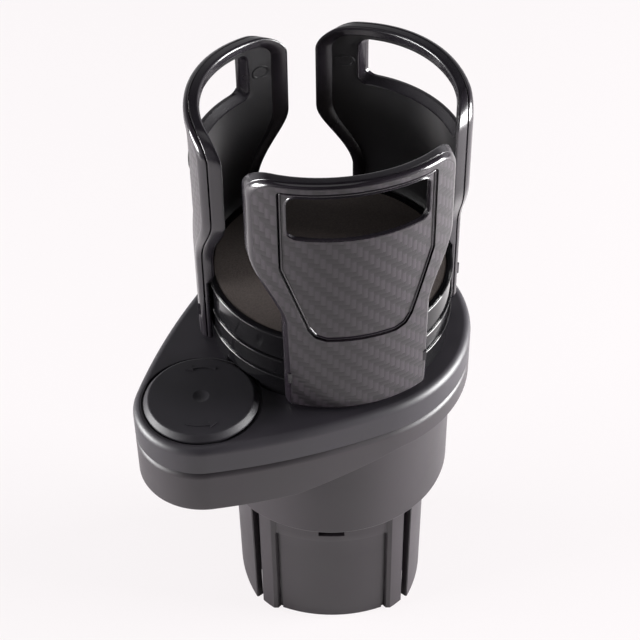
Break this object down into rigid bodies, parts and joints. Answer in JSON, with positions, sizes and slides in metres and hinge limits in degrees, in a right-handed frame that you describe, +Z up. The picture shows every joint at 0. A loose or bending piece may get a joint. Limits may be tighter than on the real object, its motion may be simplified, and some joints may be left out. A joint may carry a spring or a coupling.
{
  "type": "car cup holder",
  "caption": "Two-level car cup holder: plug for a console well, a lower cup well, and a swing-aside tray whose sliding claws grip a second cup.",
  "frame": {"origin": "centre of the foot's flat underside, on the axis of the plug and the well", "axes": "+Z up along the plug and well, -X towards the tray's pivot, claw 1 on +X"},
  "size_m": [0.12, 0.09, 0.204],
  "materials": {
    "body_abs": "fine matt moulded ABS, dark charcoal",
    "tray_abs": "satin moulded ABS, black with a warm tint",
    "gloss_abs": "polished black ABS",
    "carbon_cover": "satin carbon-weave pattern, printed on moulded ABS",
    "mat": "dull dark rubber mat",
    "washer_rubber": "plain black rubber",
    "steel": "bright zinc-plated steel",
    "brass": "turned brass"
  },
  "bodies": {
    "base": {"lower_body": "body_abs", "well_barrel": "body_abs", "base_plug": "body_abs", "well_mat": "mat", "pivot_post": "steel", "friction_washer": "washer_rubber", "clamp_nut": "brass"},
    "tray": {"upper_tray": "tray_abs", "tray_underplate": "tray_abs", "tray_screws": "steel", "knob_washer": "washer_rubber", "base_ring": "gloss_abs", "guide_ring": "gloss_abs", "seat_screws": "steel", "axle_washer": "steel", "axle_screw": "steel"},
    "lock_knob": {"lock_knob": "tray_abs"},
    "drum": {"scroll_drum": "gloss_abs", "drum_mat": "mat"},
    "claw_1": {"claw_frame_1": "gloss_abs", "claw_cover_1": "carbon_cover", "claw_pin_1": "steel"},
    "claw_2": {"claw_frame_2": "gloss_abs", "claw_cover_2": "carbon_cover", "claw_pin_2": "steel"},
    "claw_3": {"claw_frame_3": "gloss_abs", "claw_cover_3": "carbon_cover", "claw_pin_3": "steel"}
  },
  "joints": [
    {"name": "tray_swing", "type": "hinge", "parent": "base", "child": "tray", "pos_m": [-0.054, 0, 0.106], "axis": [0, 0, 1], "range_deg": [-180, 180]},
    {"name": "knob_turn", "type": "hinge", "parent": "tray", "child": "lock_knob", "pos_m": [-0.054, 0, 0.1155], "axis": [0, 0, 1], "range_deg": [0, 90]},
    {"name": "drum_turn", "type": "hinge", "parent": "tray", "child": "drum", "pos_m": [0, 0, 0.1316], "axis": [0, 0, 1], "range_deg": [0, 100]},
    {"name": "claw_1_slide", "type": "slide", "parent": "tray", "child": "claw_1", "axis": [1, 0, 0], "range_m": [0, 0.013]},
    {"name": "claw_2_slide", "type": "slide", "parent": "tray", "child": "claw_2", "axis": [-0.5, 0.866, 0], "range_m": [0, 0.013]},
    {"name": "claw_3_slide", "type": "slide", "parent": "tray", "child": "claw_3", "axis": [-0.5, -0.866, 0], "range_m": [0, 0.013]}
  ],
  "couplings": [
    {"joint": "claw_1_slide", "follows": "drum_turn", "m_per_rad": 0.0074484},
    {"joint": "claw_2_slide", "follows": "drum_turn", "m_per_rad": 0.0074484},
    {"joint": "claw_3_slide", "follows": "drum_turn", "m_per_rad": 0.0074484}
  ]
}
